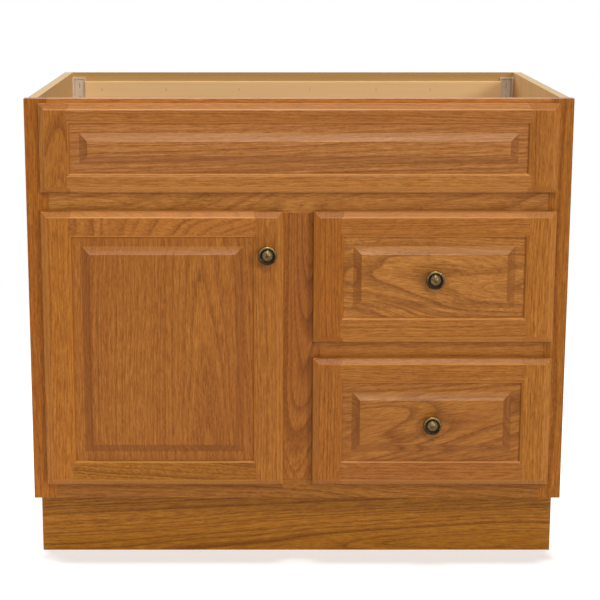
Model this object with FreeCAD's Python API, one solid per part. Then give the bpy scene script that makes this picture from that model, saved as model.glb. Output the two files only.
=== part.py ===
# Bath vanity cabinet: an open-topped face-frame cabinet with a fixed false front over a sink,
# one door on concealed hinges and two drawers on roller runners. Millimetres, +X right, +Y back.
import FreeCAD, Part
import math
import os

Vec = FreeCAD.Vector

# Overall size
cabinet_width = 914.4
cabinet_depth = 533.4
cabinet_height = 812.8
toe_height = 117.5
toe_setback = 54.0
cut_overrun = 5.0

# Carcass boards
side_thickness = 15.9
side_inset = 4.8
bottom_thickness = 12.7
partition_thickness = 15.9
toe_board_thickness = 12.7
back_thickness = 3.0
back_rabbet_width = 8.0
dado_depth = 5.0

# Hanging rail, corner braces and their nails and staples
hanging_rail_height = 76.2
hanging_rail_thickness = 12.7
hanging_rail_drop = 17.0
hanging_rail_round = 1.5
nail_width = 2.4
nail_length = 12.0
nail_drop = 33.0
nail_shares = (-0.92, -0.61, -0.26, 0.08, 0.4, 0.66)
brace_back_leg = 25.4
brace_side_leg = 12.7
brace_thickness = 4.0
brace_web = 2.2
brace_rim = 3.0
brace_height = 120.0
brace_drop = 10.0
staple_crown = 9.0
staple_wire = 1.2
staple_drop = (16.0, 40.0)

# Face frame
frame_thickness = 19.05
stile_width = 38.1
mullion_width = 76.2
top_rail_height = 38.1
sink_panel_opening = 112.6
mid_rail_height = 41.3
drawer_rail_height = 38.1
bottom_rail_height = 34.9

# Door, drawer fronts and false front
front_thickness = 19.05
front_gap = 3.0
side_overlay = 12.7
edge_overlay = 4.8
false_front_top_overlay = 31.0
front_stile_width = 50.8
front_rail_width = 43.0
false_front_rail_width = 32.5

# Outer edge moulding of the fronts, as widths in from the edge and depths behind the face
edge_width = 10.4
edge_round = 1.8
edge_side_depth = 7.4
edge_drop = 5.6
edge_step_run = 2.2
edge_step = 2.0

# Inner sticking and panel groove of the fronts
sticking_width = 5.0
sticking_quirk = 0.6
groove_front = 6.4
groove_width = 6.4
groove_depth = 8.5

# Raised panel
panel_fit = 0.1
panel_end_gap = 0.8
margin_width = 16.0
raise_width = 30.0
raise_hollow = 0.5
field_depth = 0.6

# Knob, turned with a rim, a sunk ring and a domed button
knob_radius = 15.875
knob_reach = 25.0
knob_base_radius = 8.6
knob_base_height = 2.4
knob_neck_radius = 5.8
knob_neck_height = 8.0
knob_bell_height = 15.2
knob_rim_height = 19.4
knob_rim_round = 1.7
knob_ring_radius = 12.2
knob_ring_depth = 3.4
knob_button_radius = 9.7
knob_button_side = 1.9
knob_button_flat = 0.8
knob_rim_steps = 4
knob_button_steps = 6
knob_thread_depth = 9.0
knob_screw_radius = 2.05
door_knob_drop = 70.6
door_knob_shift = 1.5

# Wood screws
screw_radius = 1.9
screw_head_radius = 3.8
screw_crown_radius = 2.9
screw_head_height = 1.7
hinge_screw_length = 15.9
runner_screw_length = 12.7
front_screw_length = 25.4
false_front_screw_length = 31.8
false_front_screw_share = 0.7
cup_screw_length = 14.0
cup_screw_head_height = 2.0

# Bumpers between the moving fronts and the face frame
bumper_radius = 4.0
bumper_gap = 0.2
bumper_drop = 22.0

# Concealed hinge
hinge_end_distance = 76.2
cup_radius = 17.5
cup_tab = 2.6
cup_bore_fit = 0.15
cup_depth = 12.2
cup_wall = 1.0
cup_floor = 0.8
cup_rim = 1.0
cup_flange_thickness = 1.2
cup_wing_half = 28.5
cup_wing_width = 11.0
cup_screw_offset = 9.5
cup_screw_half_spacing = 22.5
pivot_inset = 7.2
pivot_depth = 9.0
pin_radius = 1.25
pin_half_length = 8.0
pin_fit = 0.05
eye_radius = 2.2
boss_reach = 3.0
boss_height = 2.6
arm_thickness = 1.4
arm_width = 10.0
arm_side_gap = 0.3
arm_start_angle = -6.0
arm_start_run = 10.8
arm_bend_radius = 5.0
arm_bend_angle = 150.0
arm_foot_radius = 3.0
arm_plate_height = 46.0
arm_plate_round = 5.0
arm_plate_margin = 1.0
arm_screw_half_spacing = 16.0

# Drawer boxes
drawer_side_space = 12.7
drawer_board = 12.7
drawer_top_clear = 20.0
drawer_bottom_thickness = 5.0
drawer_bottom_rise = 12.0
drawer_groove_depth = 6.0
drawer_top_round = 3.0
drawer_screw_edge = 6.5
drawer_screw_share = 0.72

# Roller runners
runner_back_clear = 76.2
runner_setback = 1.5
runner_rise = 8.0
runner_metal = 1.2
runner_bend = 1.6
runner_flange = 10.8
channel_fit = 0.6
channel_clear = 0.6
channel_mouth = 40.0
drawer_runner_rise = 2.0
drawer_runner_foot = 13.0
drawer_flange_reach = 2.4
roller_radius = 11.0
roller_width = 7.0
roller_hub_radius = 4.6
roller_dish = 1.5
roller_tread = 2.2
roller_gap = 0.25
roller_end_gap = 0.2
roller_bore_fit = 0.05
rivet_radius = 2.0
rivet_head_radius = 3.4
rivet_head_height = 1.0
front_roller_shift = 26.0
front_roller_offset = 2.2
rear_roller_shift = 14.0
rear_roller_offset = 3.6
drawer_travel_share = 0.75
stop_drop = 4.0
stop_width = 6.0
stop_gap = 0.3
runner_front_screw = 8.0
runner_screw_shares = (0.33, 0.94)
runner_screw_rise = 4.2
runner_block_height = 45.0

# Worked-out places
root_half = math.sqrt(0.5)
front_reach = front_gap + front_thickness
front_y = (front_reach + knob_reach - cabinet_depth) / 2
back_y = front_y + cabinet_depth
frame_back_y = front_y + frame_thickness
back_panel_y = back_y - back_thickness
half_width = cabinet_width / 2
side_outer_x = half_width - side_inset
side_inner_x = side_outer_x - side_thickness
opening_outer_x = half_width - stile_width
mullion_half = mullion_width / 2
floor_z = toe_height + bottom_rail_height
top_rail_bottom = cabinet_height - top_rail_height
mid_rail_top = top_rail_bottom - sink_panel_opening
mid_rail_bottom = mid_rail_top - mid_rail_height
drawer_opening = (mid_rail_bottom - floor_z - drawer_rail_height) / 2
drawer_rail_bottom = floor_z + drawer_opening
drawer_floor_z = {"lower": floor_z, "upper": drawer_rail_bottom + drawer_rail_height}
hanging_rail_top = cabinet_height - hanging_rail_drop
front_back_y = front_y - front_gap
front_face_y = front_back_y - front_thickness
groove_back = groove_front + groove_width
runner_length = cabinet_depth - runner_back_clear
drawer_travel = runner_length * drawer_travel_share
channel_height = 2 * roller_radius + channel_fit
sticking_lip = sticking_quirk + sticking_width


def box(x_low, x_high, y_low, y_high, z_low, z_high):
    corner = Vec(x_low, y_low, z_low)
    return Part.makeBox(x_high - x_low, y_high - y_low, z_high - z_low, corner)


def outline_face(path, place):
    """Face inside a path of (u, v) line ends and (mid u, mid v, u, v) arcs, placed in space."""
    edges = []
    here = place(*path[0])
    for step in list(path[1:]) + [path[0]]:
        end = place(*step[-2:])
        if len(step) > 2:
            edges.append(Part.Arc(here, place(*step[:2]), end).toShape())
        elif (end - here).Length > 0:
            edges.append(Part.LineSegment(here, end).toShape())
        here = end
    return Part.Face(Part.Wire(edges))


def upright_prism(path, y_face, z_low, z_high):
    """Solid of an outline in x and depth behind y_face, standing from z_low to z_high."""
    face = outline_face(path, lambda x, depth: Vec(x, y_face + depth, z_low))
    return face.extrude(Vec(0, 0, z_high - z_low))


def level_prism(path, y_face, x_low, x_high):
    """Solid of an outline in z and depth behind y_face, lying from x_low to x_high."""
    face = outline_face(path, lambda z, depth: Vec(x_low, y_face + depth, z))
    return face.extrude(Vec(x_high - x_low, 0, 0))


def long_prism(path, y_low, y_high):
    """Solid of an outline in x and z, running from y_low to y_high."""
    face = outline_face(path, lambda x, z: Vec(x, y_low, z))
    return face.extrude(Vec(0, y_high - y_low, 0))


def turned(path, seat, way):
    """Solid turned about the line from seat along way, from a path of (radius, height)."""
    across = Vec(0, 0, 1)
    face = outline_face(path, lambda radius, height: seat + across * radius + way * height)
    return face.revolve(seat, way, 360)


def rod(start, way, radius, length):
    return Part.makeCylinder(radius, length, start, way)


def shank(start, way, radius, length):
    """Eight-sided shank of a screw, as wide across its corners as the screw."""
    across = Vec(way.y, way.z, way.x) * radius
    beside = way.cross(across)
    turns = [math.pi * step / 4 for step in range(9)]
    corners = [start + across * math.cos(turn) + beside * math.sin(turn) for turn in turns]
    return Part.Face(Part.makePolygon(corners)).extrude(way * length)


def cut_all(shape, tools):
    for tool in tools:
        shape = shape.cut(tool)
    return shape


def save(node, *solids):
    shape = solids[0] if len(solids) == 1 else Part.makeCompound(list(solids))
    shape.exportStep("parts/" + node + ".step")


# Screws, nails and staples

def pan_screw(seat, way, length, radius=screw_radius):
    """Screw whose tapered head stands on seat and whose shank runs along way."""
    head = Part.makeCone(screw_head_radius, screw_crown_radius, screw_head_height, seat, -way)
    return head.fuse(shank(seat, way, radius, length))


def sunk_screw(seat, way, length):
    """Screw whose flat head lies flush with seat."""
    cone = Part.makeCone(screw_head_radius, screw_radius, cup_screw_head_height, seat, way)
    return cone.fuse(shank(seat, way, screw_radius, length))


def staple(centre):
    """Staple with an upright crown flush with the plane y of centre and two legs behind it."""
    x = centre.x
    half_wire = staple_wire / 2
    half_crown = staple_crown / 2
    crown = box(x - half_wire, x + half_wire, centre.y, centre.y + staple_wire,
                centre.z - half_crown, centre.z + half_crown)
    for end in (-half_crown, half_crown - staple_wire):
        z = centre.z + end
        leg = box(x - half_wire, x + half_wire, centre.y, centre.y + brace_web, z, z + staple_wire)
        crown = crown.fuse(leg)
    return crown


# Carcass

def side_panel(side):
    """Side panel with its toe notch, the groove for the bottom and the rabbet for the back."""
    x_low, x_high = sorted((side * side_inner_x, side * side_outer_x))
    panel = box(x_low, x_high, frame_back_y, back_y, 0, cabinet_height)
    toe_y = front_y + toe_setback + toe_board_thickness
    notch = box(x_low - cut_overrun, x_high + cut_overrun, frame_back_y - cut_overrun, toe_y,
                -cut_overrun, toe_height)
    dado_x = sorted((side * (side_inner_x - cut_overrun), side * (side_inner_x + dado_depth)))
    dado = box(*dado_x, frame_back_y - cut_overrun, back_panel_y, floor_z - bottom_thickness, floor_z)
    rabbet_x = sorted((side * (side_inner_x - cut_overrun), side * (side_inner_x + back_rabbet_width)))
    rabbet = box(*rabbet_x, back_panel_y, back_y + cut_overrun, toe_height, cabinet_height + cut_overrun)
    return cut_all(panel, [notch, dado, rabbet])


def corner_brace(side):
    """Moulded angle in a back corner, with a rim round the sunk face of its wider leg."""
    wall_x = side * side_inner_x
    z_high = cabinet_height - brace_drop
    z_low = z_high - brace_height
    back_leg_x = sorted((wall_x, wall_x - side * brace_back_leg))
    back_leg = box(*back_leg_x, back_panel_y - brace_thickness, back_panel_y, z_low, z_high)
    side_leg_x = sorted((wall_x, wall_x - side * brace_thickness))
    side_leg = box(*side_leg_x, back_panel_y - brace_side_leg, back_panel_y, z_low, z_high)
    sink_x = sorted((wall_x - side * brace_thickness, wall_x - side * (brace_back_leg - brace_rim)))
    sink = box(*sink_x, back_panel_y - brace_thickness - cut_overrun, back_panel_y - brace_web,
               z_low + brace_rim, z_high - brace_rim)
    return back_leg.fuse(side_leg).cut(sink).removeSplitter()


def build_carcass():
    for node, side in (("left_side_panel", -1), ("right_side_panel", 1)):
        save(node, side_panel(side))

    panel_half = side_inner_x + back_rabbet_width
    save("back_panel", box(-panel_half, panel_half, back_panel_y, back_y, toe_height, cabinet_height))

    bottom_half = side_inner_x + dado_depth
    save("bottom_panel", box(-bottom_half, bottom_half, frame_back_y, back_panel_y,
                             floor_z - bottom_thickness, floor_z))

    toe_y = front_y + toe_setback
    save("toe_kick_board", box(-side_outer_x, side_outer_x, toe_y, toe_y + toe_board_thickness,
                               0, toe_height))

    block_low = opening_outer_x
    blocks = []
    partition = box(mullion_half - partition_thickness, mullion_half, frame_back_y, back_panel_y,
                    floor_z, mid_rail_bottom)
    for level in ("lower", "upper"):
        track_z = drawer_floor_z[level] + runner_rise
        block = box(block_low, side_inner_x, frame_back_y, front_y + runner_setback + runner_length,
                    track_z - runner_metal, track_z - runner_metal + runner_block_height)
        blocks.append(cut_all(block, runner_screws(level)))
        partition = cut_all(partition, runner_screws(level))
    save("partition_panel", partition)
    save("runner_blocks", *blocks)


def build_back_corners():
    brace_front_y = back_panel_y - brace_web
    rail_half = side_inner_x - brace_back_leg
    rail_y = back_panel_y - hanging_rail_thickness
    rail_low = hanging_rail_top - hanging_rail_height
    rail = box(-rail_half, rail_half, rail_y, back_panel_y, rail_low, hanging_rail_top)
    top_front = [edge for edge in rail.Edges
                 if edge.BoundBox.ZMin > rail_low and edge.BoundBox.YMax < back_panel_y]
    top_front = [edge for edge in top_front if edge.BoundBox.XLength > rail_half]
    rail = rail.makeFillet(hanging_rail_round, top_front)
    nails = []
    for share in nail_shares:
        nail_x = share * rail_half
        nail_z = cabinet_height - nail_drop
        nails.append(box(nail_x - nail_width / 2, nail_x + nail_width / 2,
                         rail_y, rail_y + nail_length, nail_z - nail_width, nail_z + nail_width))
    save("hanging_rail", cut_all(rail, nails))
    save("hanging_rail_nails", *nails)

    braces = []
    staples = []
    for side in (-1, 1):
        middle = side_inner_x - (brace_thickness + brace_back_leg - brace_rim) / 2
        own = [staple(Vec(side * middle, brace_front_y, cabinet_height - brace_drop - drop))
               for drop in staple_drop]
        braces.append(cut_all(corner_brace(side), own))
        staples.extend(own)
    save("corner_braces", *braces)
    save("brace_staples", *staples)


# Face frame

def false_front_screws():
    """Screws through the face frame, from inside the cabinet, into the back of the false front."""
    top_z = (top_rail_bottom + top_rail_bottom + false_front_top_overlay) / 2
    side_z = (mid_rail_top + top_rail_bottom) / 2
    side_x = opening_outer_x + side_overlay / 2
    seats = [(-side_x * false_front_screw_share, top_z), (0, top_z),
             (side_x * false_front_screw_share, top_z),
             (-side_x, side_z), (side_x, side_z)]
    return [pan_screw(Vec(x, frame_back_y, z), Vec(0, -1, 0), false_front_screw_length)
            for x, z in seats]


def build_face_frame():
    screws = false_front_screws()
    save("false_front_screws", *screws)
    edge_screws = hinge_arm_screws() + runner_screws("lower") + runner_screws("upper")

    stiles = []
    for side in (-1, 1):
        x_low, x_high = sorted((side * opening_outer_x, side * half_width))
        stile = box(x_low, x_high, front_y, frame_back_y, toe_height, cabinet_height)
        stiles.append(cut_all(stile, screws + edge_screws))
    save("frame_stiles", *stiles)

    rails = {
        "frame_top_rail": (-opening_outer_x, opening_outer_x, top_rail_bottom, cabinet_height),
        "frame_mid_rail": (-opening_outer_x, opening_outer_x, mid_rail_bottom, mid_rail_top),
        "frame_bottom_rail": (-opening_outer_x, opening_outer_x, toe_height, floor_z),
        "frame_mullion": (-mullion_half, mullion_half, floor_z, mid_rail_bottom),
        "frame_drawer_rail": (mullion_half, opening_outer_x, drawer_rail_bottom,
                              drawer_rail_bottom + drawer_rail_height),
    }
    for node, (x_low, x_high, z_low, z_high) in rails.items():
        rail = box(x_low, x_high, front_y, frame_back_y, z_low, z_high)
        save(node, cut_all(rail, screws + edge_screws))


def build_bumpers():
    """Round pads on the face frame, where the corners of the door and drawer fronts come to rest."""
    places = []
    for z in (door_z[0] + bumper_drop, door_z[1] - bumper_drop):
        places.append((-mullion_half + side_overlay / 2, z))
    for level in ("lower", "upper"):
        z_low, z_high = drawer_front_z[level]
        for z in (z_low + bumper_drop, z_high - bumper_drop):
            places.append((mullion_half - side_overlay / 2, z))
            places.append((opening_outer_x + side_overlay / 2, z))
    save("bumpers", *[rod(Vec(x, front_y, z), Vec(0, -1, 0), bumper_radius, front_gap - bumper_gap)
                      for x, z in places])


# Framed and panelled fronts

def edge_path(low, high):
    """Section across a whole front between its two moulded outer edges."""
    low_mid = (low + edge_round * (1 - root_half),
               edge_side_depth - (edge_side_depth - edge_drop) * root_half)
    high_mid = (high - edge_round * (1 - root_half), low_mid[1])
    return [
        (low, front_thickness),
        (low, edge_side_depth),
        (*low_mid, low + edge_round, edge_drop),
        (low + edge_width - edge_step_run, edge_step),
        (low + edge_width, 0),
        (high - edge_width, 0),
        (high - edge_width + edge_step_run, edge_step),
        (high - edge_round, edge_drop),
        (*high_mid, high, edge_side_depth),
        (high, front_thickness),
    ]


def member_path(outer, inner, spare=0):
    """Section of a stile or rail from its outer edge to its sticking and panel groove.

    A cutter of that section has spare height beyond both faces and spare width outside.
    """
    way = 1 if inner > outer else -1
    outer -= way * spare
    sticking_mid = (inner - way * sticking_width * (1 - root_half),
                    sticking_lip - (sticking_lip - sticking_quirk) * root_half)
    return [
        (outer, -spare),
        (inner - way * sticking_width, -spare),
        (inner - way * sticking_width, sticking_quirk),
        (*sticking_mid, inner, sticking_lip),
        (inner, groove_front),
        (inner - way * groove_depth, groove_front),
        (inner - way * groove_depth, groove_back),
        (inner, groove_back),
        (inner, front_thickness + spare),
        (outer, front_thickness + spare),
    ]


def panel_path(low, high):
    """Section of a raised panel: tongue and flat margin, hollow raise and flat field."""
    tongue = groove_depth - panel_end_gap
    tongue_front = groove_front + panel_fit
    tongue_back = groove_back - panel_fit
    run = raise_width - margin_width
    rise = tongue_front - field_depth
    slope = math.atan2(rise, run)
    mid_run = run / 2 + raise_hollow * math.sin(slope)
    mid_depth = tongue_front - rise / 2 + raise_hollow * math.cos(slope)
    low_foot = low + tongue + margin_width
    high_foot = high - tongue - margin_width
    return [
        (low, tongue_back),
        (low, tongue_front),
        (low_foot, tongue_front),
        (low_foot + mid_run, mid_depth, low_foot + run, field_depth),
        (high_foot - run, field_depth),
        (high_foot - mid_run, mid_depth, high_foot, tongue_front),
        (high, tongue_front),
        (high, tongue_back),
    ]


def panelled_front(x_span, z_span, y_face, rail_width):
    """Stiles, coped rails and raised panel of one front."""
    x_low, x_high = x_span
    z_low, z_high = z_span
    blank = upright_prism(edge_path(x_low, x_high), y_face, z_low, z_high)
    blank = blank.common(level_prism(edge_path(z_low, z_high), y_face, x_low, x_high))
    inner_x = (x_low + front_stile_width, x_high - front_stile_width)
    inner_z = (z_low + rail_width, z_high - rail_width)

    stiles = []
    copes = []
    for outer, inner in ((x_low, inner_x[0]), (x_high, inner_x[1])):
        stile = upright_prism(member_path(outer, inner), y_face, z_low, z_high)
        stiles.append(stile.common(blank))
        copes.append(upright_prism(member_path(outer, inner, cut_overrun), y_face,
                                   z_low - cut_overrun, z_high + cut_overrun))
    rails = []
    for outer, inner in ((z_low, inner_z[0]), (z_high, inner_z[1])):
        rail = level_prism(member_path(outer, inner), y_face, x_low, x_high)
        rails.append(cut_all(rail, copes).common(blank))

    tongue = groove_depth - panel_end_gap
    panel_x = (inner_x[0] - tongue, inner_x[1] + tongue)
    panel_z = (inner_z[0] - tongue, inner_z[1] + tongue)
    panel = upright_prism(panel_path(*panel_x), y_face, *panel_z)
    panel = panel.common(level_prism(panel_path(*panel_z), y_face, *panel_x))
    return stiles, rails, panel


def round_steps(centre, radius, start_turn, end_turn, steps):
    """Ends of straight steps round an arc, in (radius, height), after its start."""
    turns = [start_turn + (end_turn - start_turn) * step / steps for step in range(1, steps + 1)]
    return [(centre[0] + radius * math.sin(math.radians(turn)),
             centre[1] + radius * math.cos(math.radians(turn))) for turn in turns]


def knob(seat):
    """Knob on the line along y through seat, with its base on seat."""
    rim_centre = (knob_radius - knob_rim_round, knob_rim_height)
    top = knob_rim_height + knob_rim_round
    ring_floor = top - knob_ring_depth
    button_edge = ring_floor + knob_button_side
    rise = knob_reach - button_edge
    ball = (knob_button_radius ** 2 + rise ** 2) / (2 * rise)
    ball_turn = math.degrees(math.asin(knob_button_radius / ball))
    flat_turn = math.degrees(math.asin(knob_button_flat / ball))
    path = [
        (0, 0),
        (knob_base_radius, 0),
        (knob_base_radius, knob_base_height),
        (knob_neck_radius, knob_neck_height),
        (knob_radius, knob_bell_height),
        (knob_radius, knob_rim_height),
        *round_steps(rim_centre, knob_rim_round, 90, 0, knob_rim_steps),
        (knob_ring_radius, top),
        (knob_ring_radius, ring_floor),
        (knob_button_radius, ring_floor),
        (knob_button_radius, button_edge),
        *round_steps((0, knob_reach - ball), ball, ball_turn, flat_turn, knob_button_steps),
        (0, knob_reach - ball * (1 - math.cos(math.radians(flat_turn)))),
    ]
    way = Vec(0, -1, 0)
    thread = rod(seat, way, knob_screw_radius, knob_thread_depth)
    return turned(path, seat, way).cut(thread)


def knob_screw(seat_y, knob_seat):
    """Machine screw from seat_y, inside, to the bottom of the thread in the knob."""
    length = seat_y - knob_seat.y + knob_thread_depth
    return pan_screw(Vec(knob_seat.x, seat_y, knob_seat.z), Vec(0, -1, 0), length, knob_screw_radius)


# False front, fixed straight to the face frame

false_front_x = (-opening_outer_x - side_overlay, opening_outer_x + side_overlay)
false_front_z = (mid_rail_top - edge_overlay, top_rail_bottom + false_front_top_overlay)


def build_false_front():
    stiles, rails, panel = panelled_front(false_front_x, false_front_z, front_y - front_thickness,
                                          false_front_rail_width)
    screws = false_front_screws()
    save("false_front_stiles", *[cut_all(stile, screws) for stile in stiles])
    save("false_front_rails", *[cut_all(rail, screws) for rail in rails])
    save("false_front_panel", panel)


# Door and its concealed hinges

door_x = (-opening_outer_x - side_overlay, -mullion_half + side_overlay)
door_z = (floor_z - edge_overlay, mid_rail_bottom + edge_overlay)
hinge_z = (door_z[0] + hinge_end_distance, door_z[1] - hinge_end_distance)
pivot_x = door_x[0] + pivot_inset
pivot_y = front_back_y - pivot_depth
cup_x = door_x[0] + cup_tab + cup_radius
stile_edge_x = -opening_outer_x


def hinge_pin(z):
    return rod(Vec(pivot_x, pivot_y, z - pin_half_length), Vec(0, 0, 1), pin_radius, 2 * pin_half_length)


def hinge_cup_screws(z):
    x = cup_x + cup_screw_offset
    seat_y = front_back_y + cup_flange_thickness
    return [sunk_screw(Vec(x, seat_y, z + offset), Vec(0, -1, 0), cup_screw_length)
            for offset in (-cup_screw_half_spacing, cup_screw_half_spacing)]


def cup_body(z):
    return rod(Vec(cup_x, front_back_y, z), Vec(0, -1, 0), cup_radius, cup_depth)


def cup_bore(z):
    return rod(Vec(cup_x, front_back_y, z), Vec(0, -1, 0), cup_radius + cup_bore_fit,
               cup_depth + cup_bore_fit)


def hinge_cup(z):
    """Pressed cup with its screw wings and the two bosses that hold the pin."""
    into_door = Vec(0, -1, 0)
    flange_y = front_back_y + cup_flange_thickness
    flange = rod(Vec(cup_x, flange_y, z), into_door, cup_radius + cup_rim, cup_flange_thickness)
    wing_x = cup_x + cup_screw_offset
    half_wing = cup_wing_width / 2
    wing = box(wing_x - half_wing, wing_x + half_wing, front_back_y, flange_y,
               z - cup_wing_half + half_wing, z + cup_wing_half - half_wing)
    for end in (-1, 1):
        tip_z = z + end * (cup_wing_half - half_wing)
        wing = wing.fuse(rod(Vec(wing_x, flange_y, tip_z), into_door, half_wing, cup_flange_thickness))
    hollow = rod(Vec(cup_x, flange_y, z), into_door, cup_radius - cup_wall,
                 cup_depth + cup_flange_thickness - cup_floor)
    boss_inner = arm_width / 2 + arm_side_gap
    boss_y = front_back_y - cup_depth
    bosses = []
    for side in (-1, 1):
        z_span = sorted((z + side * boss_inner, z + side * cup_radius))
        boss = box(door_x[0] + cup_tab, pivot_x + boss_reach, boss_y, pivot_y + boss_height, *z_span)
        bosses.append(boss.common(cup_body(z)))
    cup = cup_body(z).fuse([flange, wing]).cut(hollow).fuse(bosses)
    return cut_all(cup, [hinge_pin(z)] + hinge_cup_screws(z)).removeSplitter()


def strip_path():
    """Both sides of the bent hinge arm, from its eye to the plate on the edge of the stile."""
    half = arm_thickness / 2
    start_heading = math.radians(arm_start_angle)
    bend = math.radians(arm_bend_angle)
    cross_heading = start_heading + bend
    foot_turn = cross_heading - math.pi / 2

    def ahead(point, heading, run):
        return (point[0] + run * math.cos(heading), point[1] + run * math.sin(heading))

    def beside(point, heading, run):
        return ahead(point, heading + math.pi / 2, run)

    bend_start = ahead((pivot_x, pivot_y), start_heading, arm_start_run)
    bend_centre = beside(bend_start, start_heading, arm_bend_radius)
    bend_end = beside(bend_centre, cross_heading, -arm_bend_radius)
    plate_x = stile_edge_x + half
    foot_side = arm_foot_radius * (1 - math.cos(foot_turn))
    cross_run = (bend_end[0] - foot_side - plate_x) / -math.cos(cross_heading)
    foot_start = ahead(bend_end, cross_heading, cross_run)
    foot_centre = beside(foot_start, cross_heading, -arm_foot_radius)
    foot_end = (plate_x, foot_centre[1])
    plate_end = (plate_x, frame_back_y - arm_plate_margin)

    def side(offset):
        bend_r = arm_bend_radius - offset
        foot_r = arm_foot_radius + offset
        return [
            beside((pivot_x, pivot_y), start_heading, offset),
            beside(bend_start, start_heading, offset),
            beside(bend_centre, start_heading + bend / 2, -bend_r)
            + beside(bend_centre, cross_heading, -bend_r),
            beside(foot_start, cross_heading, offset),
            beside(foot_centre, cross_heading - foot_turn / 2, foot_r)
            + beside(foot_centre, math.pi / 2, foot_r),
            beside(plate_end, math.pi / 2, offset),
        ]

    left = side(half)
    right = side(-half)
    path = list(left)
    path.append(right[5])
    path.append(beside(foot_centre, math.pi / 2, arm_foot_radius - half))
    path.append(right[4][:2] + right[3])
    path.append(right[2][2:])
    path.append(right[2][:2] + right[1])
    path.append(right[0])
    return path, foot_end[1]


def hinge_arm_screws():
    screws = []
    path, foot_y = strip_path()
    screw_y = (foot_y + frame_back_y - arm_plate_margin) / 2
    for z in hinge_z:
        for offset in (-arm_screw_half_spacing, arm_screw_half_spacing):
            seat = Vec(stile_edge_x + arm_thickness, screw_y, z + offset)
            screws.append(pan_screw(seat, Vec(-1, 0, 0), hinge_screw_length))
    return screws


def hinge_arm(z):
    """Bent steel arm from the eye on the pin to its plate on the edge of the frame stile."""
    path, foot_y = strip_path()
    half_width_z = arm_width / 2
    face = outline_face(path, lambda x, y: Vec(x, y, z - half_width_z))
    arm = face.extrude(Vec(0, 0, arm_width))
    eye = rod(Vec(pivot_x, pivot_y, z - half_width_z), Vec(0, 0, 1), eye_radius, arm_width)
    half_plate = arm_plate_height / 2
    plate = box(stile_edge_x, stile_edge_x + arm_thickness, foot_y, frame_back_y - arm_plate_margin,
                z - half_plate, z + half_plate)
    corners = [edge for edge in plate.Edges if edge.BoundBox.XLength > arm_thickness / 2]
    plate = plate.makeFillet(arm_plate_round, corners)
    bore = rod(Vec(pivot_x, pivot_y, z - half_width_z - cut_overrun), Vec(0, 0, 1),
               pin_radius + pin_fit, arm_width + 2 * cut_overrun)
    arm = arm.fuse([eye, plate]).cut(bore)
    return cut_all(arm, hinge_arm_screws()).removeSplitter()


def build_hinges():
    save("hinge_arms", *[hinge_arm(z) for z in hinge_z])
    save("hinge_arm_screws", *hinge_arm_screws())
    save("hinge_cups", *[hinge_cup(z) for z in hinge_z])
    save("hinge_pins", *[hinge_pin(z) for z in hinge_z])
    save("hinge_cup_screws", *[screw for z in hinge_z for screw in hinge_cup_screws(z)])


def build_door():
    stiles, rails, panel = panelled_front(door_x, door_z, front_face_y, front_rail_width)
    cup_tools = [tool for z in hinge_z for tool in [cup_bore(z)] + hinge_cup_screws(z)]
    knob_seat = Vec(door_x[1] - front_stile_width / 2 - door_knob_shift, front_face_y,
                    door_z[1] - door_knob_drop)
    screw = knob_screw(front_back_y, knob_seat)
    save("door_stiles", cut_all(stiles[0], cup_tools), stiles[1].cut(screw))
    save("door_rails", *rails)
    save("door_panel", cut_all(panel, cup_tools))
    save("door_knob", knob(knob_seat))
    save("door_knob_screw", screw)


# Roller runners. Places across a runner are measured from the edge of the opening it stands on.

runner_y = front_y + runner_setback
runner_sides = ((mullion_half, 1), (opening_outer_x, -1))
drawer_web = drawer_side_space - runner_metal
rear_roller_y = runner_y + runner_length - rear_roller_shift
front_roller_y = runner_y + front_roller_shift


def track_z(level):
    return drawer_floor_z[level] + runner_rise + runner_metal


def flange_z(level):
    """Underside of the drawer runner's flange, which rides on the front roller."""
    return track_z(level) + channel_height + runner_metal + channel_clear


def runner_screws(level):
    screws = []
    places = [(runner_front_screw, channel_height / 2)]
    places += [(share * runner_length, runner_screw_rise) for share in runner_screw_shares]
    for edge_x, way in runner_sides:
        for place, rise in places:
            seat = Vec(edge_x + way * runner_metal, runner_y + place, track_z(level) + rise)
            screws.append(pan_screw(seat, Vec(-way, 0, 0), runner_screw_length))
    return screws


def rivet(level, edge_x, way, at_front):
    """Headed axle of one roller, with the collar that spaces it off the web that carries it."""
    if at_front:
        base, out = 0, 1
        shoulder = front_roller_offset - roller_end_gap
        y = front_roller_y
        z = flange_z(level) - roller_gap - roller_radius
    else:
        base, out = drawer_side_space, -1
        shoulder = drawer_side_space - rear_roller_offset - roller_width - roller_end_gap
        y = rear_roller_y
        z = track_z(level) + roller_gap + roller_radius
    seat = Vec(edge_x + way * base, y, z)
    axis = Vec(way * out, 0, 0)
    head_at = shoulder + roller_width + 2 * roller_end_gap
    path = [
        (0, 0),
        (rivet_radius, 0),
        (rivet_radius, runner_metal),
        (rivet_head_radius, runner_metal),
        (rivet_head_radius, shoulder),
        (rivet_radius, shoulder),
        (rivet_radius, head_at),
        (rivet_head_radius, head_at),
        (rivet_head_radius, head_at + rivet_head_height),
        (0, head_at + rivet_head_height),
    ]
    return turned(path, seat, axis)


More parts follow.
